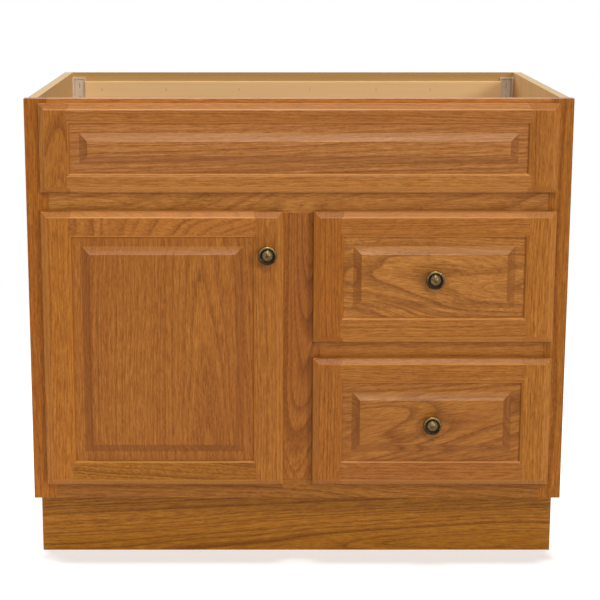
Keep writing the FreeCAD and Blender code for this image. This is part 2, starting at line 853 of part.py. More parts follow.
def roller(level, edge_x, way, at_front):
    """Moulded roller, dished between its hub and its tread on the side that is seen."""
    offset = front_roller_offset if at_front else rear_roller_offset
    y = front_roller_y if at_front else rear_roller_y
    if at_front:
        z = flange_z(level) - roller_gap - roller_radius
    else:
        z = track_z(level) + roller_gap + roller_radius
    bore = rivet_radius + roller_bore_fit
    tread_inner = roller_radius - roller_tread
    path = [
        (bore, 0),
        (roller_radius, 0),
        (roller_radius, roller_width),
        (tread_inner, roller_width),
        (tread_inner, roller_width - roller_dish),
        (roller_hub_radius, roller_width - roller_dish),
        (roller_hub_radius, roller_width),
        (bore, roller_width),
    ]
    return turned(path, Vec(edge_x + way * offset, y, z), Vec(way, 0, 0))


def channel_path(edge_x, way, z_track):
    """Section of the cabinet runner: a web with a flange below and one above."""
    metal = runner_metal
    inner_bend = runner_bend - metal
    z_low = z_track - metal
    z_high = z_track + channel_height + metal
    soft = runner_bend * (1 - root_half)
    inner_soft = metal + inner_bend * (1 - root_half)

    def at(u, z):
        return (edge_x + way * u, z)

    return [
        at(runner_flange, z_low),
        at(runner_flange, z_low + metal),
        at(metal + inner_bend, z_low + metal),
        at(inner_soft, z_low + inner_soft) + at(metal, z_low + metal + inner_bend),
        at(metal, z_high - metal - inner_bend),
        at(inner_soft, z_high - inner_soft) + at(metal + inner_bend, z_high - metal),
        at(runner_flange, z_high - metal),
        at(runner_flange, z_high),
        at(runner_bend, z_high),
        at(soft, z_high - soft) + at(0, z_high - runner_bend),
        at(0, z_low + runner_bend),
        at(soft, z_low + soft) + at(runner_bend, z_low),
    ]


def cabinet_runner(level, edge_x, way):
    """Channel on the cabinet, open above the front roller, with a stop bent down from its top."""
    z = track_z(level)
    channel = long_prism(channel_path(edge_x, way, z), runner_y, runner_y + runner_length)
    mouth_x = sorted((edge_x + way * runner_metal, edge_x + way * drawer_side_space))
    mouth = box(*mouth_x, runner_y - cut_overrun, runner_y + channel_mouth,
                z + channel_height / 2, flange_z(level))
    roller_z = z + roller_gap + roller_radius
    stop_low = z + channel_height - stop_drop
    reach = math.sqrt(roller_radius ** 2 - (stop_low - roller_z) ** 2)
    stop_y = rear_roller_y - drawer_travel - reach - stop_gap
    stop_x = sorted((edge_x + way * (runner_flange - stop_width), edge_x + way * runner_flange))
    stop = box(*stop_x, stop_y - runner_metal, stop_y, stop_low, z + channel_height + runner_metal)
    tools = runner_screws(level) + [rivet(level, edge_x, way, True)]
    return cut_all(channel.cut(mouth).fuse(stop), tools).removeSplitter()


def drawer_runner(level, edge_x, way):
    """Runner on the drawer: a foot under the side board, a web and the flange over the roller."""
    metal = runner_metal
    z_low = track_z(level) + drawer_runner_rise
    z_high = flange_z(level)
    inner_bend = runner_bend - metal
    soft = runner_bend * (1 - root_half)
    inner_soft = metal + inner_bend * (1 - root_half)

    def at(u, z):
        return (edge_x + way * u, z)

    path = [
        at(drawer_web + drawer_runner_foot, z_low - metal),
        at(drawer_web + drawer_runner_foot, z_low),
        at(drawer_side_space, z_low),
        at(drawer_side_space, z_high + metal - runner_bend),
        at(drawer_side_space - soft, z_high + metal - soft)
        + at(drawer_side_space - runner_bend, z_high + metal),
        at(drawer_flange_reach, z_high + metal),
        at(drawer_flange_reach, z_high),
        at(drawer_web - inner_bend, z_high),
        at(drawer_side_space - inner_soft, z_high - inner_soft + metal)
        + at(drawer_web, z_high - inner_bend),
        at(drawer_web, z_low - metal + runner_bend),
        at(drawer_web + soft, z_low - metal + soft) + at(drawer_web + runner_bend, z_low - metal),
    ]
    profile = long_prism(path, runner_y, runner_y + runner_length)
    return profile.cut(rivet(level, edge_x, way, False)).removeSplitter()


def build_runners():
    front_rivets = []
    screws = []
    for level in ("upper", "lower"):
        save(level + "_cabinet_runners", *[cabinet_runner(level, *side) for side in runner_sides])
        save(level + "_drawer_runners", *[drawer_runner(level, *side) for side in runner_sides])
        save(level + "_front_rollers", *[roller(level, *side, True) for side in runner_sides])
        save(level + "_rear_rollers", *[roller(level, *side, False) for side in runner_sides])
        save(level + "_drawer_rivets", *[rivet(level, *side, False) for side in runner_sides])
        front_rivets += [rivet(level, *side, True) for side in runner_sides]
        screws += runner_screws(level)
    save("front_roller_rivets", *front_rivets)
    save("runner_screws", *screws)


# Drawers

drawer_x = (mullion_half - side_overlay, opening_outer_x + side_overlay)
drawer_front_z = {level: (z - edge_overlay, z + drawer_opening + edge_overlay)
                  for level, z in drawer_floor_z.items()}
box_x = (mullion_half + drawer_side_space, opening_outer_x - drawer_side_space)
box_y = (front_back_y, front_back_y + runner_length)


def box_bottom_z(level):
    return track_z(level) + drawer_runner_rise


def build_drawer(level):
    name = level + "_drawer_"
    z_span = drawer_front_z[level]
    stiles, rails, panel = panelled_front(drawer_x, z_span, front_face_y, front_rail_width)
    box_low = box_bottom_z(level)
    box_high = drawer_floor_z[level] + drawer_opening - drawer_top_clear
    middle_x = sum(drawer_x) / 2
    inner_y = box_y[0] + drawer_board
    inner_x = (box_x[0] + drawer_board, box_x[1] - drawer_board)

    knob_seat = Vec(middle_x, front_face_y + field_depth, sum(z_span) / 2)
    screws = [knob_screw(inner_y, knob_seat)]
    screw_offset = drawer_screw_share * (inner_x[1] - inner_x[0]) / 2
    for offset in (-screw_offset, screw_offset):
        for z in (box_low + drawer_screw_edge, box_high - drawer_screw_edge):
            seat = Vec(middle_x + offset, inner_y, z)
            screws.append(pan_screw(seat, Vec(0, -1, 0), front_screw_length))

    groove_z = (box_low + drawer_bottom_rise, box_low + drawer_bottom_rise + drawer_bottom_thickness)
    bottom = box(inner_x[0] - drawer_groove_depth, inner_x[1] + drawer_groove_depth,
                 inner_y - drawer_groove_depth, box_y[1], *groove_z)

    soft = drawer_top_round * (1 - root_half)
    sides = []
    for outer, inner, way in ((box_x[0], inner_x[0], 1), (box_x[1], inner_x[1], -1)):
        path = [
            (outer, box_low),
            (inner, box_low),
            (inner, box_high - drawer_top_round),
            (inner - way * soft, box_high - soft,
             inner - way * drawer_top_round, box_high),
            (outer + way * drawer_top_round, box_high),
            (outer + way * soft, box_high - soft,
             outer, box_high - drawer_top_round),
        ]
        sides.append(long_prism(path, *box_y).cut(bottom))
    sub_front = box(*inner_x, box_y[0], inner_y, box_low, box_high)
    box_back = box(*inner_x, box_y[1] - drawer_board, box_y[1], groove_z[1], box_high)

    save(name + "front_stiles", *stiles)
    save(name + "front_rails", *[cut_all(rail, screws) for rail in rails])
    save(name + "front_panel", cut_all(panel, screws))
    save(name + "sides", *sides)
    save(name + "ends", cut_all(sub_front.cut(bottom), screws), box_back)
    save(name + "bottom", bottom)
    save(name + "knob", knob(knob_seat))
    save(name + "screws", *screws)


def main():
    os.makedirs("parts", exist_ok=True)
    build_carcass()
    build_back_corners()
    build_face_frame()
    build_bumpers()
    build_false_front()
    build_hinges()
    build_door()
    build_runners()
    for level in ("upper", "lower"):
        build_drawer(level)


main()
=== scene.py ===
# Looks of the bath vanity cabinet: oak, panels, knobs, fittings and the studio.
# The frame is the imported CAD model, in metres, +X right, +Y back, +Z up.
import math
import bmesh
import bpy
from bpy.props import FloatProperty, FloatVectorProperty, IntProperty, PointerProperty
from mathutils import Matrix, Vector


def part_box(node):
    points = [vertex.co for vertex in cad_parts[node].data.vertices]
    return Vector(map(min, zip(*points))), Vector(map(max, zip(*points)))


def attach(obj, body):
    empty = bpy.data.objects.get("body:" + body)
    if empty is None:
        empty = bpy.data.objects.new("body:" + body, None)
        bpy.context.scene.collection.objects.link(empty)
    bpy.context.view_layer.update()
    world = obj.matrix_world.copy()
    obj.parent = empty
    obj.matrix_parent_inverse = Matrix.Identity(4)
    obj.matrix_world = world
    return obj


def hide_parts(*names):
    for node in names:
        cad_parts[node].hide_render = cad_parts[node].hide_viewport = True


bl_info = {
    "name": "Bath Vanity Cabinet",
    "version": (1, 0, 0),
    "blender": (4, 5, 0),
    "location": "View3D > Sidebar > Vanity",
    "description": "Finishes and small pieces of a face-frame bath vanity cabinet, and its studio",
    "category": "Add Mesh",
}

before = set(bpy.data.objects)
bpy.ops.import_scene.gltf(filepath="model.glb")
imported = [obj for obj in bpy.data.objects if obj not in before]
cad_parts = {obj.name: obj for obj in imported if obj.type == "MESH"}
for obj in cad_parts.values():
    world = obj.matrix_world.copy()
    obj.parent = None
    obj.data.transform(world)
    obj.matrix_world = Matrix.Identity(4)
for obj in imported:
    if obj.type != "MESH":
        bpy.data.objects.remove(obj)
MM = 0.001
SAME_POINT = 0.001 * MM  # corners that the CAD mesh has twice
MERGE = 0.01 * MM  # doubled points on the axis and the seam of a turned shape

# Places in the trunk, in metres: a step from board to board, another to the second board of a
# pair, and a small shift across it, so that no two boards show the same wood
BOARD_STEP = 1.37
PAIR_STEP = 2.91
PAIR_SHIFT = 0.011
LUMP = 0.7  # size of a noise's lumps for a scale of one

# Colours without a setting: darker chips, the two shades of the outer print, and small parts
CHIP_SHADE, PRINT_DARK, PRINT_PALE = "D2B184", "8E531C", "B97A38"
STAPLE, NAIL, BUMPER = "8A735E", "DDB47C", "D8D6CE"
WHITE = (1.0, 1.0, 1.0, 1.0)

# Side panels: how near the outer face and the cut top edge a point counts as lying on them
OUTER_SKIN = 0.1 * MM
CUT_SKIN = 0.4 * MM

# The knob's half section as shares of its radius and of its reach: foot, neck and back of the
# rim; the inner edge of the rim and the sunk ring; and the button
KNOB_BACK = ((0.0, 0.0), (0.53, 0.0), (0.54, 0.03), (0.54, 0.075), (0.50, 0.105), (0.42, 0.16),
             (0.375, 0.24), (0.37, 0.32), (0.43, 0.38), (0.62, 0.47), (0.86, 0.555),
             (0.97, 0.60), (1.0, 0.635), (1.0, 0.775))
RIM_ROUND = 0.068
RIM_TOP = 0.844
RIM_TURNS = (70, 50, 30, 10)
KNOB_INNER = ((0.83, RIM_TOP), (0.79, RIM_TOP - 0.012), (0.77, RIM_TOP - 0.04), (0.76, 0.72),
              (0.75, 0.708), (0.625, 0.708), (0.612, 0.72))
BUTTON_RADIUS = 0.61
BUTTON_EDGE = 0.785
BUTTON_STEPS = 9
# Where tarnish and painted shade lie: the sunk ring's two radii, and the heights above which ring
# and rim count
RING_IN, RING_OUT, RING_LOW, CREST_LOW = 0.60, 0.78, 0.60, 0.80

# Screws: how far from its end a screw is measured, the half sections of a flat and a round
# head as (share of the head's radius, height), the depth to the shank, and the recess
END_REACH = 2.5 * MM
FLAT_HEAD = ((0.0, 0.0), (0.97, 0.0), (1.0, -0.2 * MM))
FLAT_DEPTH = 2.1 * MM
ROUND_HEAD = ((0.0, 0.0), (0.45, -0.02 * MM), (0.74, -0.2 * MM), (0.93, -0.7 * MM),
              (1.0, -1.3 * MM), (1.0, -1.7 * MM))
ROUND_DEPTH = 1.7 * MM
SCREW_STEPS = 20
RECESS_SLOT = 0.7 * MM
TWIST = 37.0  # turns each recess by its screw's place, so that they don't all stand alike

# Studio: half size of the floor, where its paint fades to white, how much it glows to the eye,
# the camera's sensor, shift and reach, and each lamp's direction and spread in degrees
FLOOR_REACH = 15.0
FLOOR_FADE = (0.8, 2.2)
FLOOR_LIFT = 0.42
SENSOR = 36.0
SHIFT = (0.063, -0.075)
VIEW_REACH = 60.0
LAMPS = (
    ("key", (-0.60, 1.0, -0.36), 12.0),
    ("sheen", (-0.06, 1.0, -0.86), 14.0),
    ("top", (0.0, 0.03, -1.0), 14.0),
    ("back", (0.80, -1.0, -0.50), 30.0),
)


def linear(code):
    """Linear colour of an sRGB hex code."""
    channels = [int(code[at:at + 2], 16) / 255 for at in (0, 2, 4)]
    return tuple(c / 12.92 if c <= 0.04045 else ((c + 0.055) / 1.055) ** 2.4 for c in channels)


def colour(name, description, code):
    return FloatVectorProperty(name=name, description=description, subtype="COLOR", size=3,
                               min=0.0, max=1.0, default=linear(code))


def length(name, description, size):
    return FloatProperty(name=name, description=description, unit="LENGTH", subtype="DISTANCE",
                         min=0.0, default=size * MM)


def amount(name, description, size):
    return FloatProperty(name=name, description=description, subtype="FACTOR",
                         min=0.0, max=1.0, default=size)


def position(name, description, metres):
    return FloatProperty(name=name, description=description, unit="LENGTH", default=metres)


def number(name, description, value):
    return FloatProperty(name=name, description=description, default=value)


# Sizes and colours that can be changed

class OakSettings(bpy.types.PropertyGroup):
    heartwood: colour("Heartwood", "Middle colour of the stained oak", "905113")
    pale: colour("Pale wood", "Dense late wood between the rings", "BD7B34")
    ring: colour("Ring", "Porous early wood at the start of each ring", "743B0A")
    pore: colour("Pore", "Open pores that hold the stain", "4C2A08")
    rosy: colour("Rosy board", "Where the stain turns redder", "985521")
    ring_width: length("Ring width", "Width of a year's growth", 5.5)
    pore_width: length("Pore width", "Width of a pore, drawn wide enough to show", 1.0)
    pore_length: length("Pore length", "Length of a pore along the grain", 6.0)
    gloss: amount("Roughness", "Roughness of the satin lacquer", 0.31)


class PanelSettings(bpy.types.PropertyGroup):
    face: colour("Inner face", "Printed paper on the inner faces of the boards", "E4BA80")
    # The same print as the inner face, painted paler: painted light for the side panels' inner
    # faces, which lie in shade
    side: colour("Side face", "Printed paper on the inner faces of the side panels", "F9CC86")
    rail: colour("Hanging rail", "Paper on the hanging rail", "F0C890")
    back: colour("Back", "Brown paper on the hardboard back", "C0985E")
    chips: colour("Cut edge", "Cut edge of the particle board", "CFB48D")
    paper: colour("Paper edge", "Grey edge of the outer paper", "A9A196")
    box: colour("Drawer box", "Clear-coated drawer boards", "DDBE8E")
    paper_width: length("Paper width", "Width of the outer paper's edge", 1.4)


class KnobSettings(bpy.types.PropertyGroup):
    brass: colour("Brass", "Rubbed brass on the knobs' high places", "93794C")
    tarnish: colour("Tarnish", "Dark brass left in the sunk ring", "2E2110")
    radius: length("Radius", "Radius of the knob's rim", 15.8)
    reach: length("Reach", "How far the knob stands off the wood", 24.9)
    steps: IntProperty(name="Steps", description="Steps round the knob", min=16, default=72)


class FittingSettings(bpy.types.PropertyGroup):
    nickel: colour("Nickel", "Plated hinge cups and arms", "C4C0B8")
    zinc: colour("Zinc", "Bright zinc on screws, pins and rivets", "B7BABD")
    enamel: colour("Enamel", "White epoxy on the runners", "E9E6DF")
    nylon: colour("Nylon", "Rollers", "E2DFD6")
    brace: colour("Brace", "Moulded corner braces", "DBC7AE")
    recess_width: length("Recess width", "Span of the cross recess in a screw head", 3.4)
    recess_depth: length("Recess depth", "Depth of the cross recess", 1.1)


class StudioSettings(bpy.types.PropertyGroup):
    floor: colour("Floor", "Pale studio floor", "E6E5E3")
    camera_x: position("Camera X", "Place of the camera", -0.061)
    camera_y: position("Camera Y", "Place of the camera", -2.892)
    camera_z: position("Camera Z", "Place of the camera", 1.073)
    tilt: FloatProperty(name="Tilt", description="How far the camera looks down", subtype="ANGLE",
                        default=math.radians(11.20))
    lens: number("Lens", "Focal length in millimetres", 95.85)
    key: number("Key", "Strength of the lamp in front at the right", 0.95)
    sheen: number("Sheen", "Strength of the lamp high in front", 1.12)
    top: number("Top", "Strength of the lamp overhead", 1.85)
    back: number("Back", "Strength of the lamp behind at the left", 1.15)
    room: number("Room", "Strength of the even light all round", 0.10)


# Node helpers

def add(tree, kind, inputs=None, **settings):
    """Adds a node with its settings; an input gets a value, a socket, or a node's first open
    output."""
    node = tree.nodes.new(kind)
    for name, value in settings.items():
        setattr(node, name, value)
    for socket, value in (inputs or {}).items():
        if isinstance(value, bpy.types.Node):
            value = next(output for output in value.outputs if output.enabled)
        if isinstance(value, bpy.types.NodeSocket):
            tree.links.new(value, node.inputs[socket])
        else:
            node.inputs[socket].default_value = value
    return node


def shade(steps, ramp):
    """Sets a colour ramp to (place, grey) steps."""
    while len(ramp.elements) < len(steps):
        ramp.elements.new(1.0)
    for element, (place, grey) in zip(ramp.elements, steps):
        element.position = place
        element.color = (grey, grey, grey, 1.0)


def start_material(name):
    material = bpy.data.materials.new(name)
    material.use_nodes = True
    material.node_tree.nodes.clear()
    return material, material.node_tree


def close_material(tree, **inputs):
    """Ends a material in a Principled shader with the named inputs, spaces as underscores."""
    named = {name.replace("_", " "): value for name, value in inputs.items()}
    shader = add(tree, "ShaderNodeBsdfPrincipled", named)
    add(tree, "ShaderNodeOutputMaterial", {"Surface": shader.outputs["BSDF"]})


def finish(material, *names):
    """Puts a material on CAD nodes."""
    for name in names:
        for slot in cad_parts[name].material_slots:
            slot.material = material


# Oak

def oak(name, grain, seed, heart, tilt=0.0, lean=0.0, split=None, rosy=0.35, rings=1.0,
        figure=0.65, wander=0.035, ends=0.4, painted_sheen=0.0, painted_raise_shading=0.0, tone=(1.0, 1.0, 1.0),
        other_tone=None):
    """Stained red oak, planed and lacquered: rings cut along the board show as arches or lines.

    grain is the axis that the fibres follow. heart is where the tree's middle lies from the
    board, across and behind it. tilt is its slant to the board, which closes the rings into
    arches, and lean its slant across the board. split is where the second board of a pair
    starts. rosy is how much of it turned redder, rings how closely they stand, figure how
    strongly they show and wander how far they stray. ends is how much stain the cut ends
    drank. The two after it paint light and shade. The first is how much paler the moulding
    slopes are painted, a painted sheen for the lamps' highlight on the bevels. The second is
    how strongly a panel's raise is painted darker on its sides and lower slope and paler on
    its upper slope, as painted shade and light. tone is how this board took the stain, with
    other_tone for the second board. On the frame's top and middle rails, tone also holds
    painted light that lifts them out of the shade beside the false front.
    """
    oak_set = bpy.context.scene.vanity_oak
    material, tree = start_material(name)
    place = add(tree, "ShaderNodeTexCoord")
    parts = add(tree, "ShaderNodeSeparateXYZ", {0: place.outputs["Object"]})
    along, across, depth = [parts.outputs["XYZ".index(axis)]
                            for axis in {"X": "XZY", "Y": "YXZ", "Z": "ZXY"}[grain]]
    own = seed * BOARD_STEP
    second = 0.0
    if split is not None:
        second = add(tree, "ShaderNodeMath", {0: across, 1: split}, operation="GREATER_THAN")
        own = add(tree, "ShaderNodeMath", {0: second, 1: PAIR_STEP, 2: own},
                  operation="MULTIPLY_ADD")
        across = add(tree, "ShaderNodeMath", {0: second, 1: PAIR_SHIFT - split * 2, 2: across},
                     operation="MULTIPLY_ADD")
    length_way = add(tree, "ShaderNodeMath", {0: along, 1: own}, operation="ADD")
    leaning = add(tree, "ShaderNodeMath", {0: along, 1: -lean, 2: -heart[0]},
                  operation="MULTIPLY_ADD")
    across_way = add(tree, "ShaderNodeMath", {0: across, 1: leaning}, operation="ADD")
    slant = add(tree, "ShaderNodeMath", {0: along, 1: tilt, 2: heart[1]}, operation="MULTIPLY_ADD")
    depth_way = add(tree, "ShaderNodeMath", {0: depth, 1: slant}, operation="ADD")
    board = add(tree, "ShaderNodeCombineXYZ", {0: length_way, 1: across_way, 2: depth_way})

    # The trunk is never quite round or straight, so the rings wander by a centimetre or two
    bend = add(tree, "ShaderNodeMapping", {"Vector": board, "Scale": (1.6, 7.0, 7.0)})
    stray = add(tree, "ShaderNodeTexNoise", {"Vector": bend, "Scale": 1.0, "Detail": 2.0})
    offset = add(tree, "ShaderNodeVectorMath", {0: stray.outputs["Color"], 1: (0.5, 0.5, 0.5)},
                 operation="SUBTRACT")
    moved = add(tree, "ShaderNodeVectorMath", {0: offset, 1: (wander, wander, wander), 2: board},
                operation="MULTIPLY_ADD")
    cut = add(tree, "ShaderNodeVectorMath", {0: moved, 1: (0.0, 1.0, 1.0)}, operation="MULTIPLY")
    radius = add(tree, "ShaderNodeVectorMath", {0: cut}, operation="LENGTH")
    # Good and poor years: rings between about a half and twice the usual width
    growth = add(tree, "ShaderNodeTexNoise", {"W": radius, "Scale": 0.33 / oak_set.ring_width,
                                              "Detail": 1.0}, noise_dimensions="1D")
    extra = add(tree, "ShaderNodeMath", {0: growth, 1: 3.0}, operation="MULTIPLY")
    years = add(tree, "ShaderNodeMath", {0: radius, 1: rings / oak_set.ring_width, 2: extra},
                operation="MULTIPLY_ADD")
    season = add(tree, "ShaderNodeMath", {0: years}, operation="FRACT")
    year = add(tree, "ShaderNodeMath", {0: years}, operation="FLOOR")
    wet = add(tree, "ShaderNodeTexWhiteNoise", {"W": year}, noise_dimensions="1D")
    early = add(tree, "ShaderNodeValToRGB", {0: season})
    shade([(0.0, 0.85), (0.25, 0.4), (0.5, 0.0), (0.9, 0.1), (1.0, 0.85)], early.color_ramp)
    darkness = add(tree, "ShaderNodeMapRange", {0: wet.outputs["Value"], 3: 0.35, 4: 1.0})
    porous = add(tree, "ShaderNodeMath", {0: early.outputs["Color"], 1: darkness},
                 operation="MULTIPLY")

    # Fibres run along the board in streaks two millimetres apart, coarser than real so they show
    thread = add(tree, "ShaderNodeMapping", {"Vector": moved, "Scale": (36.0, 480.0, 480.0)})
    fibre = add(tree, "ShaderNodeTexNoise", {"Vector": thread, "Scale": 1.0, "Detail": 3.0,
                                             "Roughness": 0.6})
    # Open pores are short dark ticks, thickest in the early wood
    along_pores, across_pores = LUMP / oak_set.pore_length, LUMP / oak_set.pore_width
    tick = add(tree, "ShaderNodeMapping",
               {"Vector": moved, "Scale": (along_pores, across_pores, across_pores)})
    pore_noise = add(tree, "ShaderNodeTexNoise", {"Vector": tick, "Scale": 1.0, "Detail": 1.0})
    pores = add(tree, "ShaderNodeMapRange", {0: pore_noise, 1: 0.50, 2: 0.62})
    share = add(tree, "ShaderNodeMath", {0: porous, 1: 0.7, 2: 0.35}, operation="MULTIPLY_ADD")
    pore_share = add(tree, "ShaderNodeMath", {0: pores, 1: share}, operation="MULTIPLY")
    # The stain takes differently in broad soft patches
    patch = add(tree, "ShaderNodeMapping", {"Vector": board, "Scale": (2.2, 14.0, 14.0)})
    cloud = add(tree, "ShaderNodeTexNoise", {"Vector": patch, "Scale": 1.0, "Detail": 3.0})
    cloudy = add(tree, "ShaderNodeMapRange", {0: cloud, 1: 0.35, 2: 0.68, 4: rosy})

    fine = add(tree, "ShaderNodeMapRange", {0: fibre, 1: 0.30, 2: 0.70})
    base = add(tree, "ShaderNodeMix",
               {0: fine, 6: (*oak_set.heartwood, 1.0), 7: (*oak_set.pale, 1.0)},
               data_type="RGBA")
    base = add(tree, "ShaderNodeMix", {0: cloudy, 6: base, 7: (*oak_set.rosy, 1.0)},
               data_type="RGBA")
    ring_share = add(tree, "ShaderNodeMath", {0: porous, 1: figure}, operation="MULTIPLY")
    base = add(tree, "ShaderNodeMix", {0: ring_share, 6: base, 7: (*oak_set.ring, 1.0)},
               data_type="RGBA")
    pore_dark = add(tree, "ShaderNodeMath", {0: pore_share, 1: 0.5}, operation="MULTIPLY")
    base = add(tree, "ShaderNodeMix", {0: pore_dark, 6: base, 7: (*oak_set.pore, 1.0)},
               data_type="RGBA")
    # Ends and slopes cut across the fibres drink more stain
    facing = add(tree, "ShaderNodeSeparateXYZ", {0: place.outputs["Normal"]})
    across_fibres = add(tree, "ShaderNodeMath", {0: facing.outputs["XYZ".index(grain)]},
                        operation="ABSOLUTE")
    end_share = add(tree, "ShaderNodeMapRange", {0: across_fibres, 1: 0.15, 2: 0.8, 4: ends})
    base = add(tree, "ShaderNodeMix", {0: end_share, 6: base, 7: (*oak_set.ring, 1.0)},
               data_type="RGBA")
    if painted_sheen:
        # Painted sheen: the moulding slopes are painted paler, standing in for the lamps' highlight
        # on the bevels
        front = add(tree, "ShaderNodeMath", {0: facing.outputs["Y"]}, operation="ABSOLUTE")
        sheen_share = add(tree, "ShaderNodeMapRange", {0: front, 1: 0.96, 2: 0.75, 4: painted_sheen})
        base = add(tree, "ShaderNodeMix", {0: sheen_share, 6: base, 7: (*oak_set.pale, 1.0)},
                   data_type="RGBA")
    if painted_raise_shading:
        # Painted shade and light on a panel's raise: darker on its sides and lower slope, paler on
        # its upper slope, as light from above and in front would fall
        turned = add(tree, "ShaderNodeMath", {0: facing.outputs["X"]}, operation="ABSOLUTE")
        under = add(tree, "ShaderNodeMath", {0: facing.outputs["Z"], 1: -1.0},
                    operation="MULTIPLY")
        shaded_facing = add(tree, "ShaderNodeMath", {0: turned, 1: under}, operation="MAXIMUM")
        raise_shade_share = add(tree, "ShaderNodeMapRange", {0: shaded_facing, 1: 0.06, 2: 0.22, 4: painted_raise_shading})
        base = add(tree, "ShaderNodeMix", {0: raise_shade_share, 6: base, 7: (*oak_set.ring, 1.0)},
                   data_type="RGBA")
        raise_light_share = add(tree, "ShaderNodeMapRange",
                        {0: facing.outputs["Z"], 1: 0.06, 2: 0.25, 4: painted_raise_shading})
        base = add(tree, "ShaderNodeMix", {0: raise_light_share, 6: base, 7: (*oak_set.pale, 1.0)},
                   data_type="RGBA")
    if other_tone:
        tone = add(tree, "ShaderNodeMix", {0: second, 6: (*tone, 1.0), 7: (*other_tone, 1.0)},
                   data_type="RGBA")
    base = add(tree, "ShaderNodeVectorMath", {0: base, 1: tone}, operation="MULTIPLY")

    height = add(tree, "ShaderNodeMath", {0: pore_share, 1: -1.0, 2: fine},
                 operation="MULTIPLY_ADD")
    bump = add(tree, "ShaderNodeBump", {"Strength": 0.25, "Distance": 0.0003, "Height": height})
    rough = add(tree, "ShaderNodeMath", {0: pore_share, 1: 0.2, 2: oak_set.gloss},
                operation="MULTIPLY_ADD")
    close_material(tree, Base_Color=base, Roughness=rough, Normal=bump, Specular_IOR_Level=0.18)
    return material


class VANITY_OT_oak(bpy.types.Operator):
    """Finishes the face frame, toe board, fronts and door in stained oak, board by board"""
    bl_idname = "vanity.oak"
    bl_label = "Oak boards"

    def execute(self, context):
        boards = {
            "frame_stiles": oak(
                "oak_frame_stiles", "Z", 1, (0.09, 0.03), 0.01, split=0.0, tone=(0.98, 0.88, 0.5),
                other_tone=(0.98, 0.95, 0.55)),
            # The top and middle rails get a brighter tone: besides their stain, painted light that
            # lifts them out of the shade beside the false front
            "frame_top_rail": oak(
                "oak_frame_top_rail", "X", 2, (0.70, 0.06), 0.02, tone=(1.36, 1.5, 1.9)),
            "frame_mid_rail": oak(
                "oak_frame_mid_rail", "X", 3, (0.60, 0.03), 0.06, tone=(1.14, 1.28, 1.6)),
            "frame_bottom_rail": oak(
                "oak_frame_bottom_rail", "X", 4, (0.20, 0.05), 0.04, figure=0.7, rings=1.4,
                tone=(0.8, 0.81, 0.68)),
            "frame_mullion": oak(
                "oak_frame_mullion", "Z", 5, (0.0, 0.17), 0.10, lean=0.06, figure=0.9, rosy=0.6,
                rings=0.9, wander=0.06, tone=(0.99, 0.96, 0.84)),
            "frame_drawer_rail": oak(
                "oak_frame_drawer_rail", "X", 6, (0.30, 0.05), 0.02, tone=(1.12, 1.18, 1.2)),
            "toe_kick_board": oak(
                "oak_toe_board", "X", 7, (0.0, 0.17), 0.015, lean=0.05, rosy=0.05, rings=0.75,
                figure=1.0, wander=0.05, tone=(0.95, 0.99, 0.5)),
            "false_front_stiles": oak(
                "oak_false_front_stiles", "Z", 8, (-0.40, 0.28), 0.08, split=0.0, rings=0.8,
                figure=0.8, painted_sheen=0.5, tone=(1.0, 0.98, 0.85)),
            "false_front_rails": oak(
                "oak_false_front_rails", "X", 9, (0.80, 0.24), 0.02, split=0.7315, painted_sheen=0.85,
                tone=(1.13, 1.22, 1.55), other_tone=(1.03, 1.07, 1.35)),
            "false_front_panel": oak(
                "oak_false_front_panel", "X", 10, (0.98, 0.10), 0.0, lean=0.04, rings=0.8,
                figure=0.95, wander=0.02, ends=0.9, painted_raise_shading=0.3, tone=(1.15, 1.27, 2.1)),
            "door_stiles": oak(
                "oak_door_stiles", "Z", 11, (-0.50, 0.22), 0.02, split=-0.2286, rosy=0.15,
                painted_sheen=0.5, tone=(1.07, 1.03, 0.77), other_tone=(1.02, 0.99, 0.86)),
            "door_rails": oak(
                "oak_door_rails", "X", 12, (-0.23, 0.16), 0.25, lean=-0.20, split=0.386, rings=0.8,
                figure=1.0, painted_sheen=1.0, tone=(0.89, 0.90, 0.54), other_tone=(1.14, 1.16, 1.22)),
            "door_panel": oak(
                "oak_door_panel", "Z", 13, (-0.15, 0.30), 0.05, rings=0.8, ends=0.25, painted_raise_shading=0.35,
                tone=(0.97, 0.94, 0.86)),
            "upper_drawer_front_stiles": oak(
                "oak_upper_stiles", "Z", 14, (0.12, 0.3), 0.01, split=0.2286, painted_sheen=0.5,
                tone=(0.94, 0.84, 0.52), other_tone=(1.08, 1.07, 0.89)),
            "upper_drawer_front_rails": oak(
                "oak_upper_rails", "X", 15, (0.70, 0.24), 0.03, split=0.5132, painted_sheen=0.85,
                tone=(1.05, 1.07, 1.1), other_tone=(1.06, 1.07, 1.05)),
            "upper_drawer_front_panel": oak(
                "oak_upper_panel", "X", 16, (0.525, 0.20), 0.16, lean=-0.06, figure=0.9, rings=0.6,
                wander=0.09, ends=1.0, painted_raise_shading=0.25, tone=(1.15, 1.26, 1.6)),
            "lower_drawer_front_stiles": oak(
                "oak_lower_stiles", "Z", 17, (0.12, 0.3), 0.01, split=0.2286, painted_sheen=0.5,
                tone=(0.95, 0.88, 0.7), other_tone=(1.04, 1.04, 0.82)),
            "lower_drawer_front_rails": oak(
                "oak_lower_rails", "X", 18, (0.35, 0.24), 0.03, split=0.26, painted_sheen=0.85,
                tone=(0.94, 0.92, 0.95), other_tone=(1.02, 1.02, 0.98)),
            "lower_drawer_front_panel": oak(
                "oak_lower_panel", "X", 19, (0.22, 0.14), -0.05, lean=0.20, figure=0.95,
                rings=1.15, wander=0.045, ends=1.0, painted_raise_shading=0.25, tone=(1.0, 1.04, 1.2)),
        }
        for node, material in boards.items():
            finish(material, node)
        return {"FINISHED"}


# Carcass panels, back, braces and drawer boxes

